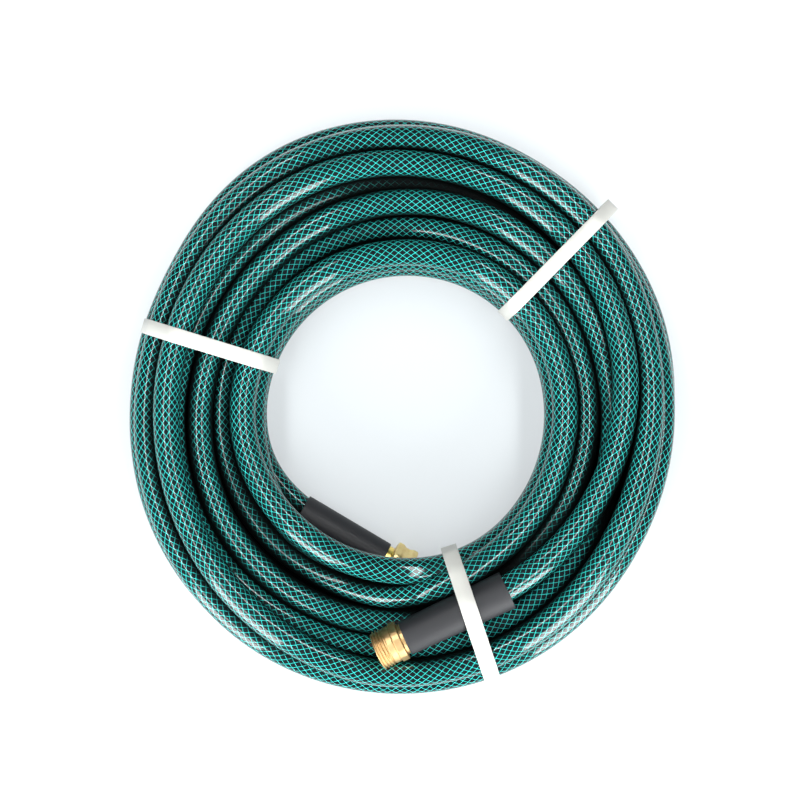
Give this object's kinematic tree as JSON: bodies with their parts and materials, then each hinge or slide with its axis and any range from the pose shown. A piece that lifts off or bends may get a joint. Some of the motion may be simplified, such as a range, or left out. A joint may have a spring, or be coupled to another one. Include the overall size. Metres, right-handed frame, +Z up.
{
  "type": "garden hose",
  "caption": "Coiled braided garden hose with a threaded brass end, a swivel brass end and black sleeves, held by white straps.",
  "frame": {"origin": "on the floor under the middle of the coil's box", "axes": "+Z up along the coil's axis; +X to the picture's right; +Y to the picture's top"},
  "size_m": [0.3928, 0.4166, 0.0811],
  "materials": {
    "hose": "glossy clear cover over a dark green wall with a turquoise yarn braid",
    "sleeve_black": "satin black",
    "brass": "turned brass",
    "cast_brass": "rough cast brass",
    "washer_rubber": "matt black rubber",
    "strap_white": "smooth white band"
  },
  "bodies": {
    "hose": {"hose_coil": "hose", "hose_tail_male": "hose", "hose_tail_female": "hose", "sleeve_male": "sleeve_black", "sleeve_female": "sleeve_black", "ferrule_male": "brass", "ferrule_female": "brass", "coupling_male": "brass", "swivel_stem": "brass", "strap_left": "strap_white", "strap_right": "strap_white", "strap_front": "strap_white"},
    "swivel": {"swivel_nut": "cast_brass", "washer": "washer_rubber"}
  },
  "joints": [
    {"name": "nut_swivel", "type": "hinge", "parent": "hose", "child": "swivel", "pos_m": [0.00332, -0.12219, 0.0177], "axis": [0.8704, -0.4924, 0], "continuous": true}
  ]
}
